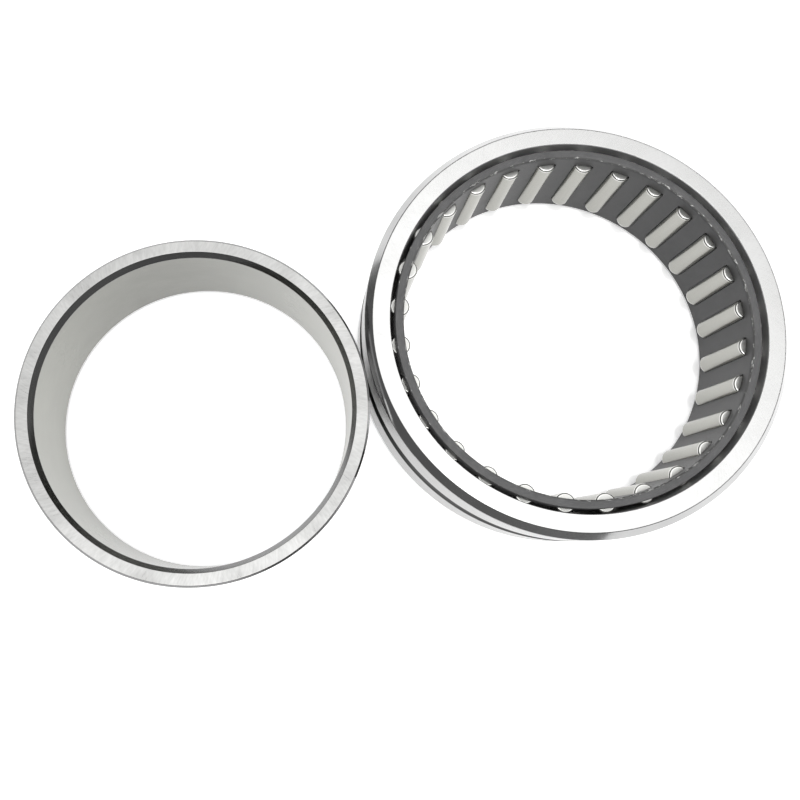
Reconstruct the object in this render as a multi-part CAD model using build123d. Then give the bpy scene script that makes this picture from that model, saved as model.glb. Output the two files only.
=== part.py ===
"""Needle roller bearing with a separable inner ring, one solid per physical piece.

Units are millimetres. +Z is the bearing axis. The origin is the middle of the outer ring.
The inner ring lies beside the outer ring, in the same plane, on the -X side.
"""
from build123d import *
import os

os.makedirs("parts", exist_ok=True)

# Boundary sizes of the bearing
BORE_D = 65.0            # shaft seat in the inner ring
INSCRIBED_D = 72.4       # inner ring raceway, and the circle inside the needles
OUTER_D = 92.0           # housing seat
WIDTH = 23.0             # both rings

# Needle rollers
NEEDLE_COUNT = 28
NEEDLE_D = 4.4
NEEDLE_LEN = 16.2
NEEDLE_EDGE = 0.6        # rounding of the end edges
FIRST_NEEDLE = 180.0 / NEEDLE_COUNT   # degrees: a cage bar lies on +X

# Outer ring
RACE_PLAY = 0.05         # radial play between a needle and the raceway
LEAD_IN = 0.15           # chamfer from the side face to the raceway
OUTER_EDGE = 1.6         # housing-side chamfer, both ways
GROOVE_W = 4.4           # lubrication groove, width at the outside
GROOVE_FLOOR_W = 2.8
GROOVE_DEPTH = 0.8
OIL_HOLE_D = 2.4
OIL_HOLE_ANGLES = (100.0, 280.0)

# Cage
CAGE_OUTER_D = 79.2
CAGE_BORE_D = 75.4
CAGE_WIDTH = 21.9
CAGE_INNER_EDGE = 0.3
CAGE_OUTER_EDGE = 0.15
POCKET_SIDE_PLAY = 0.1
POCKET_END_PLAY = 0.15
POCKET_CORNER = 0.3
LIP_HEIGHT = 0.1         # lip at the cage bore that keeps a needle from dropping inwards
LIP_OPENING = 4.29       # opening between two lips, narrower than a needle

# Inner ring
BORE_EDGE_R = 0.9
BORE_EDGE_Z = 1.3
RUNNING_EDGE = 0.45      # chamfer from the side face to the needle track, both ways
INNER_RING_X = -83.5     # where the inner ring lies

HALF_W = WIDTH / 2
RACE_R = INSCRIBED_D / 2 + NEEDLE_D + RACE_PLAY
PITCH_R = (INSCRIBED_D + NEEDLE_D) / 2
STEP_DEG = 360.0 / NEEDLE_COUNT


def lathe(points):
    """Turn a closed (radius, height) outline about Z."""
    with BuildPart() as part:
        with BuildSketch(Plane.XZ):
            with BuildLine():
                Polyline(*points, close=True)
            make_face()
        revolve(axis=Axis.Z)
    return part.part


def mirrored(upper):
    """Close an outline given by its upper half, outside to inside."""
    lower = [(r, -z) for r, z in reversed(upper)]
    return upper + lower


def outer_ring():
    outer_r = OUTER_D / 2
    ring = lathe(mirrored([
        (outer_r - GROOVE_DEPTH, GROOVE_FLOOR_W / 2),
        (outer_r, GROOVE_W / 2),
        (outer_r, HALF_W - OUTER_EDGE),
        (outer_r - OUTER_EDGE, HALF_W),
        (RACE_R + LEAD_IN, HALF_W),
        (RACE_R, HALF_W - LEAD_IN),
    ]))
    for angle in OIL_HOLE_ANGLES:
        drill = Cylinder(OIL_HOLE_D / 2, OUTER_D - 2 * RACE_R + 4)
        ring -= Rot(0, 0, angle) * Pos(outer_r, 0, 0) * Rot(0, 90, 0) * drill
    return ring


def pocket():
    """Window for one needle on +X, with a narrower throat at the cage bore."""
    length = NEEDLE_LEN + 2 * POCKET_END_PLAY
    width = NEEDLE_D + 2 * POCKET_SIDE_PLAY
    floor_r = CAGE_BORE_D / 2 + LIP_HEIGHT
    depth = 4.0
    window = Pos(floor_r + depth / 2, 0, 0) * Box(depth, width, length)
    window = fillet(window.edges().filter_by(Axis.X), POCKET_CORNER)
    throat = Pos(floor_r, 0, 0) * Box(depth, LIP_OPENING, length)
    throat = fillet(throat.edges().filter_by(Axis.X), POCKET_CORNER)
    return window + throat


def cage():
    outer_r, bore_r, half = CAGE_OUTER_D / 2, CAGE_BORE_D / 2, CAGE_WIDTH / 2
    body = lathe(mirrored([
        (outer_r, half - CAGE_OUTER_EDGE),
        (outer_r - CAGE_OUTER_EDGE, half),
        (bore_r + CAGE_INNER_EDGE, half),
        (bore_r, half - CAGE_INNER_EDGE),
    ]))
    cutter = pocket()
    for index in range(NEEDLE_COUNT):
        body -= Rot(0, 0, FIRST_NEEDLE + index * STEP_DEG) * cutter
    return body


def needle(index):
    roller = Cylinder(NEEDLE_D / 2, NEEDLE_LEN)
    roller = fillet(roller.edges().filter_by(GeomType.CIRCLE), NEEDLE_EDGE)
    return Rot(0, 0, FIRST_NEEDLE + index * STEP_DEG) * Pos(PITCH_R, 0, 0) * roller


def inner_ring():
    outer_r, bore_r = INSCRIBED_D / 2, BORE_D / 2
    ring = lathe(mirrored([
        (outer_r, HALF_W - RUNNING_EDGE),
        (outer_r - RUNNING_EDGE, HALF_W),
        (bore_r + BORE_EDGE_R, HALF_W),
        (bore_r, HALF_W - BORE_EDGE_Z),
    ]))
    return Pos(INNER_RING_X, 0, 0) * ring


def save(name, shape):
    solid = shape.solid()
    solid.label = name
    export_step(solid, os.path.join("parts", name + ".step"))


save("outer_ring", outer_ring())
save("cage", cage())
save("inner_ring", inner_ring())
for number in range(NEEDLE_COUNT):
    save(f"needle_{number + 1:02d}", needle(number))
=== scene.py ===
"""Needle roller bearing: the outer ring with its caged needles, and the inner ring beside it."""
import math

import bmesh
import bpy
from mathutils import Matrix, Vector


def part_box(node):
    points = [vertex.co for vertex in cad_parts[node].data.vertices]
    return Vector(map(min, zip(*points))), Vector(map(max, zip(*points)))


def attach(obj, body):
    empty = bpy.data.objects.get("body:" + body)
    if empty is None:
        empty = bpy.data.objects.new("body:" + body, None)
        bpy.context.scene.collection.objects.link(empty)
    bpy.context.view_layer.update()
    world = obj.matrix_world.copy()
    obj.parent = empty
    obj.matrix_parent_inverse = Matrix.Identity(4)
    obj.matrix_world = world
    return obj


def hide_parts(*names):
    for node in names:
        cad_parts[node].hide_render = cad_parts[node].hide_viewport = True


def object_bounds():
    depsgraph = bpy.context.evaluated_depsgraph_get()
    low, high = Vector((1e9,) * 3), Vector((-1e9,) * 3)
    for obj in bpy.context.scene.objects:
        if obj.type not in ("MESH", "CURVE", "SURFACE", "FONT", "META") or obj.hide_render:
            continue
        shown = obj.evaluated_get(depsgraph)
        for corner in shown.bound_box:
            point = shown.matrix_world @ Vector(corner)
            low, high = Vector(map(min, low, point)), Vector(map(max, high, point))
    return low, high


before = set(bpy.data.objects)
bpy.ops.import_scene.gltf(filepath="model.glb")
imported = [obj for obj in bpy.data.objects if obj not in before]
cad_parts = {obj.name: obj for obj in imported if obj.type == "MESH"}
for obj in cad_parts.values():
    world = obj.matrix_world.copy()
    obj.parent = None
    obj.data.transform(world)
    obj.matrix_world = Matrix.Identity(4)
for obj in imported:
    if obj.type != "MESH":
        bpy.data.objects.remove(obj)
CAD_LOW, CAD_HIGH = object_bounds()
MM = 0.001


# ---------------------------------------------------------------- sizes, in mm
def radius_and_top(node):
    """Outer radius and half height of a round node whose axis is upright.

    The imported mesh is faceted, so its radius is a few microns small and is rounded to a tenth."""
    low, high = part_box(node)
    return round((high.x - low.x) / 2 / MM, 1), round((high.z - low.z) / 2 / MM, 4)


def middle_of(node):
    """Middle of a node's box, in metres."""
    low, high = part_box(node)
    return (low + high) / 2


NEEDLES = sorted(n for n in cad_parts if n.startswith("needle_"))
NEEDLE_R, NEEDLE_TOP = radius_and_top(NEEDLES[0])
OUTER_R, RING_TOP = radius_and_top("outer_ring")
CAGE_R, CAGE_TOP = radius_and_top("cage")
INNER_R, _ = radius_and_top("inner_ring")

OUTER_CHAMFER = 1.6
GROOVE_HALF, GROOVE_FLOOR_HALF, GROOVE_DEPTH = 2.2, 1.4, 0.8
RACE_PLAY = 0.05
RACE_R = INNER_R + 2 * NEEDLE_R + RACE_PLAY
LEAD_IN = 0.15
HOLE_R = 1.2
HOLE_ANGLES = (100, 280)
HOLE_EDGE = 0.09           # rounding of an oil hole's rim

CAGE_BORE_R = 37.7
LIP_R = CAGE_BORE_R + 0.1
POCKET = (NEEDLE_R + 0.1, NEEDLE_TOP + 0.15)     # half width and half length of a cage pocket
THROAT = (2.145, 8.22)     # the same at the lips on the cage bore
POCKET_CORNER = 0.3
SECTOR = math.tau / len(NEEDLES)

INNER_BORE_R = 32.5
RUNNING_EDGE = 0.45
BORE_EDGE = (0.9, 1.3)     # radial, axial

NEEDLE_EDGE = 0.45         # rounding of a needle's end edges
NEEDLE_DOME = 0.02         # height of its slightly domed end face

RING_STEPS = 720           # faces round a ring
NEEDLE_STEPS = 96          # faces round a needle
MERGE = 1e-7               # metres: vertices this close are one
SAME = 1e-5                # mm: Vector holds single precision, so equal values may differ by this
# How far a rounding stands off the sides of its corner at 22.5, 45 and 67.5 degrees, per radius
ARC_NEAR, ARC_MIDDLE, ARC_FAR = 0.08, 0.29, 0.62


# ---------------------------------------------------------------- outlines
def rounded(corners, steps=4, support=0.03):
    """Closed outline of (radius, height, rounding, material) corners, in mm.

    The material is that of the run after the corner. Returns the points and one material per run.
    A support point beside each rounding keeps the flats flat when they are shaded smooth."""
    points, runs = [], []
    count = len(corners)
    for i, (r, z, radius, _) in enumerate(corners):
        here = Vector((r, z))
        before, after = Vector(corners[i - 1][:2]), Vector(corners[(i + 1) % count][:2])
        to_a, to_b = (before - here).normalized(), (after - here).normalized()
        half = to_a.angle(to_b) / 2
        nearly_straight = half > math.radians(89)
        if radius <= 0 or nearly_straight:
            points.append(here)
            runs.append(corners[i][3])
            continue
        cut = radius / math.tan(half)
        centre = here + (to_a + to_b).normalized() * (radius / math.sin(half))
        start, end = here + to_a * cut - centre, here + to_b * cut - centre
        sweep = start.angle(end)
        if (before - here).length > 4 * (cut + support):
            points.append(here + to_a * (cut + support))
            runs.append(corners[i - 1][3])
        for k in range(steps + 1):
            t = k / steps
            mixed = (start * math.sin((1 - t) * sweep) + end * math.sin(t * sweep)) / math.sin(sweep)
            points.append(centre + mixed)
            runs.append(corners[i][3] if t >= 0.5 else corners[i - 1][3])
        if (after - here).length > 4 * (cut + support):
            points.append(here + to_b * (cut + support))
            runs.append(corners[i][3])
    return points, runs


# ---------------------------------------------------------------- mesh building
class Builder:
    """Collects vertices and faces in mm, then makes one object."""

    def __init__(self):
        self.verts, self.faces, self.mats = [], [], []

    def add(self, point):
        self.verts.append(tuple(c * MM for c in point))
        return len(self.verts) - 1

    def polar(self, radius, angle, height):
        return self.add((radius * math.cos(angle), radius * math.sin(angle), height))

    def face(self, ids, mat):
        self.faces.append(tuple(ids))
        self.mats.append(mat)

    def strip(self, loop_a, loop_b, mat, closed=True):
        count = len(loop_a)
        for k in range(count if closed else count - 1):
            n = (k + 1) % count
            self.face((loop_a[k], loop_a[n], loop_b[n], loop_b[k]), mat)

    def build(self, name, materials):
        mesh = bpy.data.meshes.new(name)
        mesh.from_pydata(self.verts, [], self.faces)
        for material in materials:
            mesh.materials.append(material)
        mesh.polygons.foreach_set("material_index", self.mats)
        bm = bmesh.new()
        bm.from_mesh(mesh)
        bmesh.ops.remove_doubles(bm, verts=bm.verts, dist=MERGE)
        bmesh.ops.recalc_face_normals(bm, faces=bm.faces)
        for face in bm.faces:
            face.smooth = True
        bm.to_mesh(mesh)
        bm.free()
        obj = bpy.data.objects.new(name, mesh)
        bpy.context.scene.collection.objects.link(obj)
        return obj


def lathe(builder, points, runs, steps, skip=lambda run, step: False):
    """Turns a closed outline about Z. Returns the vertex index of (outline point, step)."""
    grid = [[builder.polar(p.x, math.tau * j / steps, p.y) for j in range(steps)] for p in points]
    for i in range(len(points)):
        upper, lower = grid[(i + 1) % len(points)], grid[i]
        for j in range(steps):
            if not skip(i, j):
                n = (j + 1) % steps
                builder.face((lower[j], lower[n], upper[n], upper[j]), runs[i])
    return grid


# ---------------------------------------------------------------- outer ring
FACE, CHAMFER, SEAT, GROOVE, RACE, LEAD = range(6)
HOLE_LEVELS = [round(GROOVE_FLOOR_HALF * (k / 4 - 1), 4) for k in range(9)]    # rows at the holes
HOLE_SPAN = 5      # steps each side of a hole that its patch takes


def drill_patch(builder, grid, rows, centre_step, surface_r, inward, mat):
    """Fills the window left round an oil hole, and returns the loop of vertices at its wall."""
    steps = [(centre_step + k) % RING_STEPS for k in range(-HOLE_SPAN, HOLE_SPAN + 1)]
    window = [(rows[0], s) for s in steps]
    window += [(r, steps[-1]) for r in rows[1:]]
    window += [(rows[-1], s) for s in reversed(steps[:-1])]
    window += [(r, steps[0]) for r in reversed(rows[1:-1])]
    centre = math.tau * centre_step / RING_STEPS
    step_angle = math.tau / RING_STEPS
    loop, flat = [], []
    for row, step in window:
        turn = (step - centre_step + RING_STEPS // 2) % RING_STEPS - RING_STEPS // 2
        height = builder.verts[grid[row][0]][2] / MM
        loop.append(grid[row][step])
        flat.append(Vector((surface_r * math.sin(turn * step_angle), height)))

    def ring(radius, share, depth):
        made = []
        for corner in flat:
            spot = corner.lerp(corner.normalized() * radius, share)
            r = surface_r + inward * depth
            turn = math.asin(spot.x / r)
            made.append(builder.polar(r, centre + turn, spot.y))
        return made

    rim = HOLE_R + HOLE_EDGE
    between = 0.6      # share of the way from the window to the rim
    loops = [loop, ring(rim + 0.03, between, 0), ring(rim + 0.02, 1, 0), ring(rim, 1, 0),
             ring(HOLE_R + HOLE_EDGE * ARC_MIDDLE, 1, HOLE_EDGE * ARC_MIDDLE),
             ring(HOLE_R, 1, HOLE_EDGE), ring(HOLE_R, 1, HOLE_EDGE + 0.03)]
    for first, second in zip(loops, loops[1:]):
        builder.strip(first, second, mat)
    return loops[-1]


def outer_ring_outline():
    """Corners of the ring's section, from the groove's floor up and round by the raceway."""
    top, floor_r, cut = RING_TOP, OUTER_R - GROOVE_DEPTH, OUTER_CHAMFER
    groove_round, seat_round, face_round, lead_round = 0.12, 0.3, 0.4, 0.05
    floor_rows = [(floor_r, z, 0, GROOVE) for z in HOLE_LEVELS]
    upper = [
        (OUTER_R, GROOVE_HALF, groove_round, SEAT),
        (OUTER_R, top - cut, seat_round, CHAMFER),
        (OUTER_R - cut, top, face_round, FACE),
        (RACE_R + LEAD_IN, top, lead_round, LEAD),
        (RACE_R, top - LEAD_IN, lead_round, RACE)]
    race_rows = [(RACE_R, -z, 0, RACE) for z in HOLE_LEVELS]
    lower = [
        (RACE_R, LEAD_IN - top, lead_round, LEAD),
        (RACE_R + LEAD_IN, -top, lead_round, FACE),
        (OUTER_R - cut, -top, face_round, CHAMFER),
        (OUTER_R, cut - top, seat_round, SEAT),
        (OUTER_R, -GROOVE_HALF, groove_round, GROOVE)]
    return floor_rows + upper + race_rows + lower


def outer_ring_piece(materials):
    points, runs = rounded(outer_ring_outline())
    floor_r = OUTER_R - GROOVE_DEPTH

    def rows_at(radius):
        found = [i for i, p in enumerate(points)
                 if abs(p.x - radius) < SAME and any(abs(p.y - z) < SAME for z in HOLE_LEVELS)]
        return sorted(found, key=lambda i: points[i].y)

    floor_rows, race_rows = rows_at(floor_r), rows_at(RACE_R)
    hole_steps = [round(a / 360 * RING_STEPS) for a in HOLE_ANGLES]
    inner_runs = {min(a, b) for rows in (floor_rows, race_rows) for a, b in zip(rows, rows[1:])}

    def in_window(run, step):
        return run in inner_runs and any(-HOLE_SPAN <= step - h < HOLE_SPAN for h in hole_steps)

    builder = Builder()
    grid = lathe(builder, points, runs, RING_STEPS, in_window)
    for step in hole_steps:
        outside = drill_patch(builder, grid, floor_rows, step, floor_r, -1, GROOVE)
        inside = drill_patch(builder, grid, race_rows, step, RACE_R, 1, RACE)
        builder.strip(outside, inside, GROOVE)
    return builder.build("outer_ring_body", materials)


# ---------------------------------------------------------------- inner ring
I_FACE, I_CHAMFER, I_RACE, I_BORE, I_RUNNING = range(5)


def inner_ring_piece(materials):
    top, run, (bore_r, bore_z) = RING_TOP, RUNNING_EDGE, BORE_EDGE
    face_round, chamfer_round, bore_round = 0.15, 0.09, 0.35
    upper = [
        (INNER_R, top - run, face_round, I_RUNNING),
        (INNER_R - run, top, face_round, I_FACE),
        (INNER_BORE_R + bore_r, top, chamfer_round, I_CHAMFER),
        (INNER_BORE_R, top - bore_z, bore_round, I_BORE)]
    lower = [
        (INNER_BORE_R, bore_z - top, bore_round, I_CHAMFER),
        (INNER_BORE_R + bore_r, -top, chamfer_round, I_FACE),
        (INNER_R - run, -top, face_round, I_RUNNING),
        (INNER_R, run - top, face_round, I_RACE)]
    points, runs = rounded(upper + lower, steps=5)
    builder = Builder()
    lathe(builder, points, runs, RING_STEPS)
    ring = builder.build("inner_ring_body", materials)
    ring.location = middle_of("inner_ring")
    return ring


# ---------------------------------------------------------------- cage
C_SIDE, C_BORE, C_END, C_EDGE, C_RIM = range(5)
SIDE_RUNS, END_RUNS, CORNER_RUNS = 14, 7, 5      # edges along a pocket's side, its end and a corner
POCKET_POINTS = 2 * (SIDE_RUNS + END_RUNS) + 4 * CORNER_RUNS


def pocket_outline(half_w, half_l, corner):
    """Rounded rectangle in (tangential, axial) mm, anticlockwise from the middle of its right side."""
    def run(start, end, count):
        return [start.lerp(end, k / count) for k in range(count)]

    def bend(centre, start):
        turns = (start + math.pi / 2 * k / CORNER_RUNS for k in range(CORNER_RUNS))
        return [centre + Vector((math.cos(t), math.sin(t))) * corner for t in turns]

    flat_w, flat_l = half_w - corner, half_l - corner
    points = run(Vector((half_w, 0)), Vector((half_w, flat_l)), SIDE_RUNS // 2)
    points += bend(Vector((flat_w, flat_l)), 0)
    points += run(Vector((flat_w, half_l)), Vector((-flat_w, half_l)), END_RUNS)
    points += bend(Vector((-flat_w, flat_l)), math.pi / 2)
    points += run(Vector((-half_w, flat_l)), Vector((-half_w, -flat_l)), SIDE_RUNS)
    points += bend(Vector((-flat_w, -flat_l)), math.pi)
    points += run(Vector((-flat_w, -half_l)), Vector((flat_w, -half_l)), END_RUNS)
    points += bend(Vector((flat_w, -flat_l)), -math.pi / 2)
    points += run(Vector((half_w, -flat_l)), Vector((half_w, 0)), SIDE_RUNS // 2)
    return points


def sector_frame(half_a, half_l):
    """The sector's border as (angle, axial), with a pocket outline's count and order of points."""
    half_arc = CORNER_RUNS // 2 + 1
    up = SIDE_RUNS // 2 + half_arc
    across = END_RUNS + 2 * (CORNER_RUNS - half_arc) + 1
    down = SIDE_RUNS + 2 * half_arc - 1
    points = [Vector((half_a, half_l * k / up)) for k in range(up)]
    points += [Vector((half_a - 2 * half_a * k / across, half_l)) for k in range(across)]
    points += [Vector((-half_a, half_l - 2 * half_l * k / down)) for k in range(down)]
    points += [Vector((-half_a + 2 * half_a * k / across, -half_l)) for k in range(across)]
    rest = POCKET_POINTS - len(points)
    points += [Vector((half_a, -half_l + half_l * k / rest)) for k in range(rest)]
    return points


def pocket_walls(edge, lip_edge):
    """(opening, growth, radius, material) of the loops from the cage's outside to its bore.

    The loops close beside an edge keep the flats flat when they are shaded smooth."""
    bore_r, support, step_support, step_edge = CAGE_BORE_R, 0.04, 0.03, 0.02
    return [
        (POCKET, edge, CAGE_R, C_SIDE),
        (POCKET, edge * ARC_FAR, CAGE_R - edge * ARC_NEAR, C_EDGE),
        (POCKET, edge * ARC_MIDDLE, CAGE_R - edge * ARC_MIDDLE, C_EDGE),
        (POCKET, edge * ARC_NEAR, CAGE_R - edge * ARC_FAR, C_EDGE),
        (POCKET, 0, CAGE_R - edge, C_EDGE),
        (POCKET, 0, CAGE_R - edge - support, C_SIDE),
        (POCKET, 0, LIP_R + step_support, C_SIDE),
        (POCKET, 0, LIP_R, C_SIDE),
        (THROAT, step_edge, LIP_R, C_EDGE),
        (THROAT, 0, LIP_R - step_edge * 0.75, C_EDGE),
        (THROAT, 0, bore_r + lip_edge * 0.6, C_EDGE),
        (THROAT, lip_edge * 0.3, bore_r + lip_edge * 0.2, C_EDGE),
        (THROAT, lip_edge, bore_r, C_EDGE)]


def cage_end_profile():
    """(radius, height, material) over the end face, from the outside to the bore."""
    outer_edge, bore_edge, support = 0.15, 0.3, 0.04
    outer_z, bore_z = CAGE_TOP - outer_edge, CAGE_TOP - bore_edge
    bore_r, rim_r = CAGE_BORE_R, CAGE_BORE_R + bore_edge
    return [
        (CAGE_R, outer_z, C_EDGE),
        (CAGE_R - outer_edge * 0.3, outer_z + outer_edge * 0.7, C_EDGE),
        (CAGE_R - outer_edge, CAGE_TOP, C_EDGE),
        (CAGE_R - outer_edge - support, CAGE_TOP, C_END),
        (rim_r + support, CAGE_TOP, C_RIM),
        (rim_r, CAGE_TOP - 0.01, C_RIM),
        (rim_r - 0.05, CAGE_TOP - 0.045, C_RIM),
        (bore_r + 0.05, bore_z + 0.045, C_RIM),
        (bore_r + 0.01, bore_z, C_BORE),
        (bore_r, bore_z - 0.05, C_BORE)]


def cage_sector(builder, middle):
    """One pocket with its walls and its share of the cage's outside, bore and end faces."""
    edge, lip_edge, collar, half_a = 0.1, 0.05, 0.05, SECTOR / 2
    walls, end_profile = pocket_walls(edge, lip_edge), cage_end_profile()
    outer_z, bore_z = end_profile[0][1], end_profile[-1][1]

    def put(radius, outline):
        return [builder.polar(radius, middle + a, z) for a, z in outline]

    def cut(shape, grow, radius):
        flat = pocket_outline(shape[0] + grow, shape[1] + grow, POCKET_CORNER + grow)
        return [Vector((math.asin(p.x / radius), p.y)) for p in flat]

    loops = [put(radius, cut(shape, grow, radius)) for shape, grow, radius, _ in walls]
    for first, second, wall in zip(loops, loops[1:], walls[1:]):
        builder.strip(first, second, wall[3])
    for radius, shape, grow, half_l, mat, rim in (
            (CAGE_R, POCKET, edge, outer_z, C_SIDE, loops[0]),
            (CAGE_BORE_R, THROAT, lip_edge, bore_z, C_BORE, loops[-1])):
        border = sector_frame(half_a, half_l)
        near, last = cut(shape, grow + collar, radius), rim
        for share in (0, 0.25, 0.5, 0.75, 1):
            here = put(radius, [a.lerp(b, share) for a, b in zip(near, border)])
            builder.strip(last, here, mat)
            last = here

    top_row = [p.x for p in sector_frame(half_a, outer_z) if abs(p.y - outer_z) < SAME]
    top_angles = sorted({round(a, 6) for a in top_row + [-half_a]})
    for sign in (1, -1):
        rows = [[builder.polar(r, middle + a, sign * z) for a in top_angles] for r, z, _ in end_profile]
        for first, second, (_, _, mat) in zip(rows, rows[1:], end_profile):
            builder.strip(first, second, mat, closed=False)


def cage_piece(materials):
    builder = Builder()
    for index in range(len(NEEDLES)):
        cage_sector(builder, (index + 0.5) * SECTOR)
    return builder.build("cage_body", materials)


# ---------------------------------------------------------------- needles
N_SIDE, N_EDGE, N_END = range(3)


def needle_piece(name, materials):
    """One roller about its own axis, with rounded edges and slightly domed end faces."""
    edge_runs, support, plain_from = 12, 0.04, 3.0
    top, inner_r = NEEDLE_TOP - NEEDLE_DOME, NEEDLE_R - NEEDLE_EDGE
    profile = [
        (0.4, NEEDLE_TOP, N_END), (0.9, NEEDLE_TOP - 0.004, N_END),
        (1.4, NEEDLE_TOP - 0.013, N_END), (1.7, NEEDLE_TOP - 0.019, N_END)]
    for k in range(edge_runs + 1):
        t = math.pi / 2 * k / edge_runs
        radius, height = inner_r + NEEDLE_EDGE * math.sin(t), top - NEEDLE_EDGE + NEEDLE_EDGE * math.cos(t)
        profile.append((radius, height, N_EDGE))
    profile += [(NEEDLE_R, top - NEEDLE_EDGE - support, N_SIDE), (NEEDLE_R, top - plain_from, N_SIDE)]
    points = [(r, z) for r, z, _ in profile] + [(NEEDLE_R, 0.0)] + [(r, -z) for r, z, _ in reversed(profile)]
    upper_runs = [mat for _, _, mat in profile]

    builder = Builder()
    rings = [[builder.polar(r, math.tau * j / NEEDLE_STEPS, z) for j in range(NEEDLE_STEPS)]
             for r, z in points]
    for first, second, mat in zip(rings, rings[1:], upper_runs + upper_runs[::-1]):
        builder.strip(first, second, mat)
    for ring, z in ((rings[0], NEEDLE_TOP), (rings[-1], -NEEDLE_TOP)):
        tip = builder.add((0, 0, z))
        for j in range(NEEDLE_STEPS):
            builder.face((ring[j], ring[(j + 1) % NEEDLE_STEPS], tip), N_END)
    return builder.build(name, materials)


# ---------------------------------------------------------------- materials
class Shader:
    """A node material, and small helpers to write its nodes."""

    def __init__(self, name, color, metallic, roughness):
        self.material = bpy.data.materials.new(name)
        self.material.use_nodes = True
        self.tree = self.material.node_tree
        self.surface = self.tree.nodes["Principled BSDF"]
        self.surface.inputs["Base Color"].default_value = (*color, 1)
        self.surface.inputs["Metallic"].default_value = metallic
        self.surface.inputs["Roughness"].default_value = roughness
        self.placed = None

    def node(self, kind, **settings):
        made = self.tree.nodes.new(kind)
        for key, value in settings.items():
            setattr(made, key, value)
        return made

    def link(self, output, target):
        self.tree.links.new(output, target)

    def math(self, operation, a, b=None, c=None):
        made = self.node("ShaderNodeMath", operation=operation)
        for socket, value in zip(made.inputs, (a, b, c)):
            if value is None:
                continue
            if isinstance(value, (int, float)):
                socket.default_value = value
            else:
                self.link(value, socket)
        return made.outputs[0]

    def place(self):
        """Radius in mm, height in mm, and angle, about the piece's own axis."""
        if self.placed is None:
            split = self.node("ShaderNodeSeparateXYZ")
            self.link(self.node("ShaderNodeTexCoord").outputs["Object"], split.inputs[0])
            x, y, z = (self.math("MULTIPLY", output, 1 / MM) for output in split.outputs)
            squares = self.math("ADD", self.math("MULTIPLY", x, x), self.math("MULTIPLY", y, y))
            self.placed = (self.math("SQRT", squares), z, self.math("ARCTAN2", y, x))
        return self.placed

    def wrapped(self, around, across, along, twist=0.0):
        """Coordinates that close on themselves round the axis.

        They run by around per radian, by across per mm of radius and by along per mm of height.
        Twist slants them by that many radians per mm of radius."""
        radius, z, angle = self.place()
        if twist:
            angle = self.math("MULTIPLY_ADD", radius, twist, angle)
        spot = self.node("ShaderNodeCombineXYZ")
        self.link(self.math("MULTIPLY", self.math("COSINE", angle), around), spot.inputs[0])
        self.link(self.math("MULTIPLY", self.math("SINE", angle), around), spot.inputs[1])
        self.link(self.math("ADD", self.math("MULTIPLY", radius, across), self.math("MULTIPLY", z, along)),
                  spot.inputs[2])
        return spot.outputs[0]

    def flat(self, scale):
        """Plain object coordinates, in mm times scale."""
        made = self.node("ShaderNodeVectorMath", operation="SCALE")
        self.link(self.node("ShaderNodeTexCoord").outputs["Object"], made.inputs[0])
        made.inputs["Scale"].default_value = scale / MM
        return made.outputs[0]

    def noise(self, where, detail, roughness=0.55):
        made = self.node("ShaderNodeTexNoise")
        self.link(where, made.inputs["Vector"])
        made.inputs["Scale"].default_value = 1.0
        made.inputs["Detail"].default_value = detail
        made.inputs["Roughness"].default_value = roughness
        return made.outputs["Fac"]

    def spread(self, value, low, high, to_low=0.0, to_high=1.0):
        made = self.node("ShaderNodeMapRange", clamp=True)
        self.link(value, made.inputs["Value"])
        made.inputs["From Min"].default_value = low
        made.inputs["From Max"].default_value = high
        made.inputs["To Min"].default_value = to_low
        made.inputs["To Max"].default_value = to_high
        return made.outputs[0]

    def mix(self, share, a, b):
        made = self.node("ShaderNodeMix", data_type="RGBA")
        self.link(share, made.inputs["Factor"])
        color_a, color_b, color_out = made.inputs[6], made.inputs[7], made.outputs[2]
        for socket, value in ((color_a, a), (color_b, b)):
            if isinstance(value, tuple):
                socket.default_value = (*value, 1)
            else:
                self.link(value, socket)
        return color_out

    def paint(self, color=None, roughness=None, metallic=None):
        for key, value in (("Base Color", color), ("Roughness", roughness), ("Metallic", metallic)):
            if value is not None:
                self.link(value, self.surface.inputs[key])

    def bump(self, height, distance_um):
        made = self.node("ShaderNodeBump")
        made.inputs["Strength"].default_value = 1.0
        made.inputs["Distance"].default_value = distance_um * 1e-6
        self.link(height, made.inputs["Height"])
        self.link(made.outputs[0], self.surface.inputs["Normal"])


def grey(level):
    return (level, level, level)


def tint(color, factor):
    return tuple(min(1.0, c * factor) for c in color)


def ground_face(name, color, roughness, twist, depth, lines, contrast):
    """Side face finished by a cup wheel: fine slanting scratches, faint cloudy patches."""
    s = Shader(name, color, 1.0, roughness)
    fine = s.noise(s.wrapped(lines, 0.35, 0, twist), 4.0, 0.7)
    crossing = s.noise(s.wrapped(lines * 0.6, 0.3, 0, -twist * 0.6), 4.0, 0.7)
    clouds = s.noise(s.flat(0.12), 3.0)
    marks = s.math("ADD", s.math("MULTIPLY", fine, 0.6), s.math("MULTIPLY", crossing, 0.4))
    tone = s.math("ADD", s.spread(marks, 0.35, 0.65, -0.5, 0.5), s.spread(clouds, 0.3, 0.7, -0.5, 0.5))
    dark, light = tint(color, 1 - contrast), tint(color, 1 + contrast)
    s.paint(color=s.mix(s.spread(tone, -0.8, 0.8), dark, light),
            roughness=s.spread(tone, -1, 1, roughness - 0.04, roughness + 0.05))
    s.bump(marks, depth)
    return s.material


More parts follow.
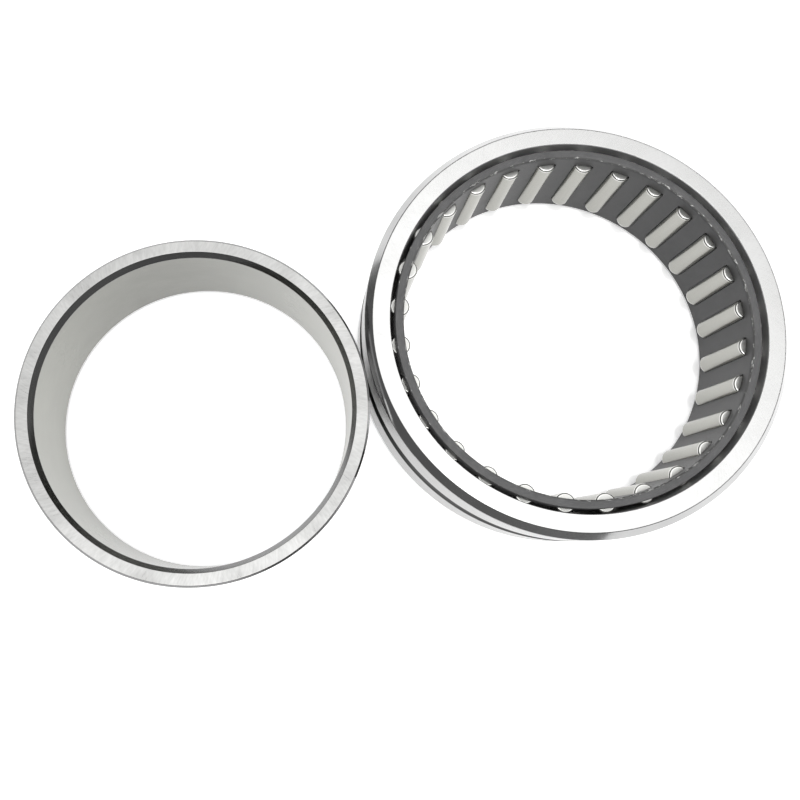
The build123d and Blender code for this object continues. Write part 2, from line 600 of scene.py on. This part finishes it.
def turned(name, color, roughness, depth, pitch=14.0, patches=0.1, painted_light_lobes=0.0):
    """Turned or cylindrically ground surface: fine rings round the axis, uneven along them.

    Pitch is about the number of rings per mm, and patches the change of tone. The lobes are painted light
    and shade:
    their share of that change makes the +X and -X sides lighter and the +Y and -Y sides darker."""
    s = Shader(name, color, 1.0, roughness)
    rings = s.noise(s.wrapped(2.5, pitch, pitch), 3.0, 0.6)
    clouds = s.noise(s.wrapped(5, 0.25, 0.25), 2.0)
    tone = s.math("ADD", s.spread(rings, 0.35, 0.65, -0.5, 0.5), s.spread(clouds, 0.3, 0.7, -0.5, 0.5))
    # Painted light and shade: the +X and -X sides lighter, the +Y and -Y sides darker, as light falls on
    # them.
    if painted_light_lobes:
        lit_and_shaded_sides = s.math("COSINE", s.math("MULTIPLY", s.place()[2], 2.0))
        tone = s.math("ADD", s.math("MULTIPLY", tone, 1 - painted_light_lobes), s.math("MULTIPLY", lit_and_shaded_sides, painted_light_lobes))
    dark, light = tint(color, 1 - patches), tint(color, 1 + patches)
    s.paint(color=s.mix(s.spread(tone, -0.9, 0.9), dark, light),
            roughness=s.spread(tone, -1, 1, roughness - 0.05, roughness + 0.06))
    s.bump(rings, depth)
    return s.material


def phosphate(name, color, roughness, worn, wear, scratch=0.0):
    """Dark phosphated steel: crystalline grain, cloudy tone, with steel showing where it is worn.

    Wear is the span of noise over which the coating gives way to the worn colour."""
    s = Shader(name, color, 0.0, roughness)
    fine = s.noise(s.flat(5.0), 4.0, 0.65)
    clouds = s.noise(s.flat(0.25), 3.0)
    tone = s.mix(s.spread(s.math("ADD", fine, clouds), 0.7, 1.3), tint(color, 0.78), tint(color, 1.3))
    bare = s.spread(s.noise(s.wrapped(22, 1.2, 1.2), 4.0, 0.7), *wear)
    if scratch:
        lines = s.spread(s.noise(s.wrapped(60, 9, 0, 0.25), 3.0, 0.6), 0.5, 0.75, 0, scratch)
        bare = s.math("MAXIMUM", bare, lines)
    s.paint(color=s.mix(bare, tone, worn),
            roughness=s.spread(fine, 0.3, 0.7, roughness - 0.08, roughness + 0.08),
            metallic=s.math("MULTIPLY", bare, 0.9))
    s.bump(fine, 12)
    return s.material


def lapped(name, color, roughness, depth):
    """Needle surface: very fine lapping round the roller, faint long streaks and a few stains."""
    s = Shader(name, color, 1.0, roughness)
    rings = s.noise(s.wrapped(1.2, 0, 22), 2.0)
    streaks = s.noise(s.wrapped(7, 0, 0.12), 3.0)
    specks = s.noise(s.flat(2.2), 2.0)
    tone = s.math("ADD", s.spread(rings, 0.35, 0.65, -0.4, 0.4), s.spread(streaks, 0.3, 0.7, -0.5, 0.5))
    clean = s.mix(s.spread(tone, -0.9, 0.9), tint(color, 0.95), tint(color, 1.05))
    stained = s.mix(s.spread(specks, 0.7, 0.78, 0, 0.35), clean, tint(color, 0.6))
    s.paint(color=stained, roughness=s.spread(tone, -1, 1, roughness - 0.04, roughness + 0.05))
    s.bump(rings, depth)
    return s.material


def outer_ring_materials():
    return [
        ground_face("outer_face_ground", (0.57, 0.57, 0.565), roughness=0.27, twist=0.018, depth=0.8,
                    lines=110, contrast=0.1),
        turned("chamfer_turned", grey(0.42), roughness=0.07, depth=0.8),
        turned("seat_ground", (0.22, 0.22, 0.217), roughness=0.2, depth=0.5, pitch=20),
        turned("groove_turned", grey(0.10), roughness=0.4, depth=2.0, pitch=7),
        turned("raceway_honed", (0.80, 0.80, 0.795), roughness=0.55, depth=0.3, pitch=24),
        turned("lead_in_turned", grey(0.70), roughness=0.3, depth=0.8)]


def inner_ring_materials():
    return [
        ground_face("inner_face_ground", (0.41, 0.41, 0.404), roughness=0.30, twist=0.012, depth=2.5,
                    lines=85, contrast=0.22),
        turned("bore_chamfer_turned", grey(0.23), roughness=0.12, depth=0.8),
        turned("inner_raceway_ground", (0.40, 0.40, 0.395), roughness=0.18, depth=0.3, pitch=24),
        # The bore's lobes are painted light and shade: lighter towards +X and -X, darker towards +Y and -Y.
        turned("bore_satin", (0.225, 0.226, 0.208), roughness=0.26, depth=0.8, pitch=12,
               patches=0.27, painted_light_lobes=0.75),
        turned("running_chamfer_turned", grey(0.22), roughness=0.06, depth=0.8)]


def cage_materials():
    return [
        phosphate("cage_phosphate", (0.11, 0.11, 0.111), roughness=0.45, worn=(0.34, 0.34, 0.33),
                  wear=(0.72, 0.85)),
        phosphate("cage_bore", (0.024, 0.024, 0.025), roughness=0.42, worn=(0.30, 0.30, 0.29),
                  wear=(0.74, 0.88)),
        phosphate("cage_end", (0.056, 0.056, 0.057), roughness=0.42, worn=(0.3, 0.3, 0.295),
                  wear=(0.72, 0.85), scratch=0.3),
        phosphate("cage_edge", grey(0.045), roughness=0.38, worn=(0.5, 0.5, 0.49), wear=(0.6, 0.7)),
        phosphate("cage_rim", (0.075, 0.075, 0.074), roughness=0.34, worn=(0.85, 0.85, 0.83),
                  wear=(0.56, 0.66))]


def needle_materials():
    return [
        lapped("needle_lapped", (0.325, 0.323, 0.301), roughness=0.22, depth=0.25),
        turned("needle_edge", (0.60, 0.60, 0.58), roughness=0.10, depth=0.2),
        turned("needle_end", (0.58, 0.58, 0.56), roughness=0.38, depth=0.6, pitch=10)]


# ---------------------------------------------------------------- pieces on their bodies
def fit(piece, node, body):
    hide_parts(node)
    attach(piece, body)


def place_needles():
    """All needles share one mesh, each turned by another angle so that their marks differ."""
    golden_turn = math.radians(137.5)
    first = needle_piece("roller_01", needle_materials())
    for number, node in enumerate(NEEDLES):
        roller = first
        if number:
            roller = bpy.data.objects.new(f"roller_{number + 1:02d}", first.data)
            bpy.context.scene.collection.objects.link(roller)
        roller.location = middle_of(node)
        roller.rotation_euler = (0, 0, golden_turn * number)
        fit(roller, node, node)


fit(outer_ring_piece(outer_ring_materials()), "outer_ring", "outer_ring")
fit(inner_ring_piece(inner_ring_materials()), "inner_ring", "inner_ring")
fit(cage_piece(cage_materials()), "cage", "cage")
place_needles()


# ---------------------------------------------------------------- floor, light, camera
def floor():
    half, gap = 1.6, 0.00002
    z = CAD_LOW.z - gap
    corners = [(-half, -half, z), (half, -half, z), (half, half, z), (-half, half, z)]
    mesh = bpy.data.meshes.new("floor")
    mesh.from_pydata(corners, [], [(0, 1, 2, 3)])
    plane = bpy.data.objects.new("floor", mesh)
    bpy.context.scene.collection.objects.link(plane)
    s = Shader("floor_white", grey(0.93), 0.0, 0.6)
    s.surface.inputs["Specular IOR Level"].default_value = 0.2
    s.surface.inputs["Emission Color"].default_value = (1, 1, 1, 1)
    s.surface.inputs["Emission Strength"].default_value = 0.4      # a lit table: faint contact shade
    mesh.materials.append(s.material)


def softbox(name, azimuth, elevation, distance, size, power):
    """Round area light aimed at the middle of the model. Angles in degrees, lengths in metres."""
    lamp = bpy.data.lights.new(name, "AREA")
    lamp.shape = "DISK"
    lamp.size = size
    lamp.energy = power
    holder = bpy.data.objects.new(name, lamp)
    bpy.context.scene.collection.objects.link(holder)
    a, e = math.radians(azimuth), math.radians(elevation)
    way = Vector((math.cos(a) * math.cos(e), math.sin(a) * math.cos(e), math.sin(e)))
    middle = (CAD_LOW + CAD_HIGH) / 2
    holder.location = middle + way * distance
    holder.rotation_euler = way.to_track_quat("Z", "Y").to_euler()


def overhead_fill():
    """Straight-down light for the table, so it stays white up to the rings. Metals don't mirror it."""
    lamp = bpy.data.lights.new("overhead_fill", "SUN")
    lamp.energy = 1.0
    lamp.angle = math.radians(9)
    holder = bpy.data.objects.new("overhead_fill", lamp)
    bpy.context.scene.collection.objects.link(holder)
    holder.visible_glossy = False


# Brightness of the room by the height of the direction: 0 at and below the horizon, 1 overhead
CEILING = ((0.0, 0.22), (0.69, 0.23), (0.77, 1.6), (0.83, 1.65), (0.92, 1.92), (0.97, 1.95), (1.0, 1.75))
BRIGHT_SIDE = math.radians(-25)      # the ceiling is a little brighter on this side
BRIGHT_SIDE_GAIN = 0.25


def studio_world():
    """A dark room with a large white ceiling: bright overhead, dark towards the horizon."""
    world = bpy.data.worlds.new("studio")
    bpy.context.scene.world = world
    world.use_nodes = True
    tree = world.node_tree
    back = tree.nodes["Background"]
    coords = tree.nodes.new("ShaderNodeTexCoord")

    split = tree.nodes.new("ShaderNodeSeparateXYZ")
    ramp = tree.nodes.new("ShaderNodeValToRGB")
    while len(ramp.color_ramp.elements) < len(CEILING):
        ramp.color_ramp.elements.new(0.5)
    for element, (height, level) in zip(ramp.color_ramp.elements, CEILING):
        element.position = height
        element.color = (*grey(level), 1)
    tree.links.new(coords.outputs["Generated"], split.inputs[0])
    tree.links.new(split.outputs["Z"], ramp.inputs[0])
    tree.links.new(ramp.outputs[0], back.inputs["Color"])

    toward = tree.nodes.new("ShaderNodeVectorMath")
    toward.operation = "DOT_PRODUCT"
    side = Vector((math.cos(BRIGHT_SIDE), math.sin(BRIGHT_SIDE), 0))
    toward.inputs[1].default_value = side * BRIGHT_SIDE_GAIN
    gain = tree.nodes.new("ShaderNodeMath")
    gain.inputs[1].default_value = 1.0
    tree.links.new(coords.outputs["Generated"], toward.inputs[0])
    tree.links.new(toward.outputs["Value"], gain.inputs[0])
    tree.links.new(gain.outputs[0], back.inputs["Strength"])


# The view that lines the model up with the photograph
CAMERA_AT = (-0.068406, -0.032444, 0.158727)
CAMERA_RIGHT = Vector((0.972981, -0.227697, 0.03824))
CAMERA_UP = Vector((0.219268, 0.963136, 0.155858))
CAMERA_LENS = 32.83
CAMERA_SHIFT = (0.08866, 0.0393)


def camera():
    data = bpy.data.cameras.new("camera")
    data.sensor_width = 36
    data.lens = CAMERA_LENS
    data.shift_x, data.shift_y = CAMERA_SHIFT
    data.clip_start, data.clip_end = 0.01, 10
    holder = bpy.data.objects.new("camera", data)
    bpy.context.scene.collection.objects.link(holder)
    back = CAMERA_RIGHT.cross(CAMERA_UP)
    turn = Matrix((CAMERA_RIGHT, CAMERA_UP, back)).transposed().to_4x4()
    holder.matrix_world = Matrix.Translation(CAMERA_AT) @ turn
    bpy.context.scene.camera = holder


floor()
studio_world()
softbox("light_behind", azimuth=-110, elevation=67, distance=1.3, size=0.6, power=2.5)
overhead_fill()
camera()
bpy.context.scene.view_settings.view_transform = "Standard"
